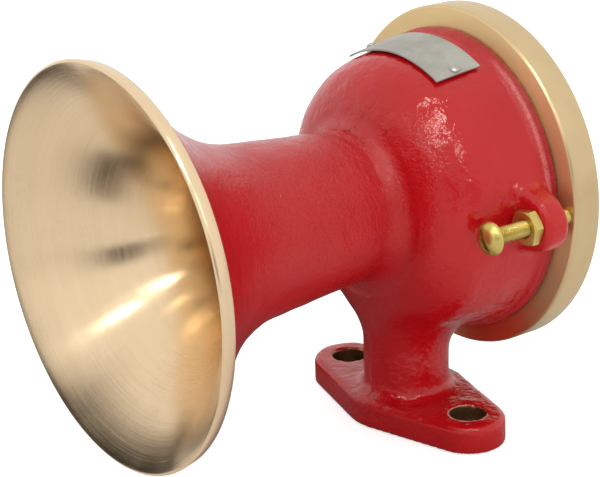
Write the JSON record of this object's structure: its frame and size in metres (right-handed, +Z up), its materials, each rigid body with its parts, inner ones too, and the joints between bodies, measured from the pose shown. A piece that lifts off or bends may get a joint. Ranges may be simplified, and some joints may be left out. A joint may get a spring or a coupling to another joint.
{
  "type": "diaphragm air horn",
  "caption": "Compressed-air signal horn: red cast body with a machined bronze bell on a two-bolt foot, screwed back cap, and a lock screw with a jam nut bearing on the cap.",
  "frame": {"origin": "centre of the foot's underside, on the stem's axis", "axes": "+Z up along the stem, the horn's axis is along Y with the bell opening towards -Y, and the lock screw is on the +X side"},
  "size_m": [0.1142, 0.1334, 0.1285],
  "materials": {
    "red_enamel": "gloss enamel over a sand-cast surface",
    "bronze": "turned and brushed",
    "brass": "machined",
    "spring_bronze": "rolled",
    "grey_plate": "satin",
    "steel": "satin",
    "fibre": "pressed fibre sheet",
    "rubber": "matte"
  },
  "bodies": {
    "horn": {"horn_body": "red_enamel", "front_gasket": "fibre", "diaphragm": "spring_bronze", "rear_gasket": "fibre", "clamp_ring": "bronze", "throat_nozzle": "brass", "inlet_strainer": "steel", "strainer_ring": "steel", "nameplate": "grey_plate", "plate_pin_left": "steel", "plate_pin_right": "steel"},
    "seal": {"cap_seal": "rubber"},
    "cap": {"back_cap": "bronze"},
    "pad": {"lock_screw_pad": "brass"},
    "screw": {"lock_screw": "brass"},
    "nut": {"lock_nut": "brass"}
  },
  "joints": [
    {"name": "cap_travel", "type": "slide", "parent": "horn", "child": "seal", "axis": [0, 1, 0], "range_m": [0, 0.00635]},
    {"name": "cap_turn", "type": "hinge", "parent": "seal", "child": "cap", "pos_m": [0, 0.02, 0.0713], "axis": [0, 1, 0], "range_deg": [0, 1440]},
    {"name": "screw_travel", "type": "slide", "parent": "horn", "child": "pad", "axis": [0, -1, 0], "range_m": [0, 0.00635]},
    {"name": "screw_turn", "type": "hinge", "parent": "pad", "child": "screw", "pos_m": [0.049, 0, 0.0713], "axis": [0, -1, 0], "range_deg": [0, 2880]},
    {"name": "nut_travel", "type": "slide", "parent": "screw", "child": "nut", "axis": [0, -1, 0], "range_m": [0, 0.011]}
  ],
  "couplings": [
    {"joint": "cap_travel", "follows": "cap_turn", "m_per_rad": 0.00025266},
    {"joint": "screw_turn", "follows": "screw_travel", "rad_per_m": 7915.8}
  ]
}
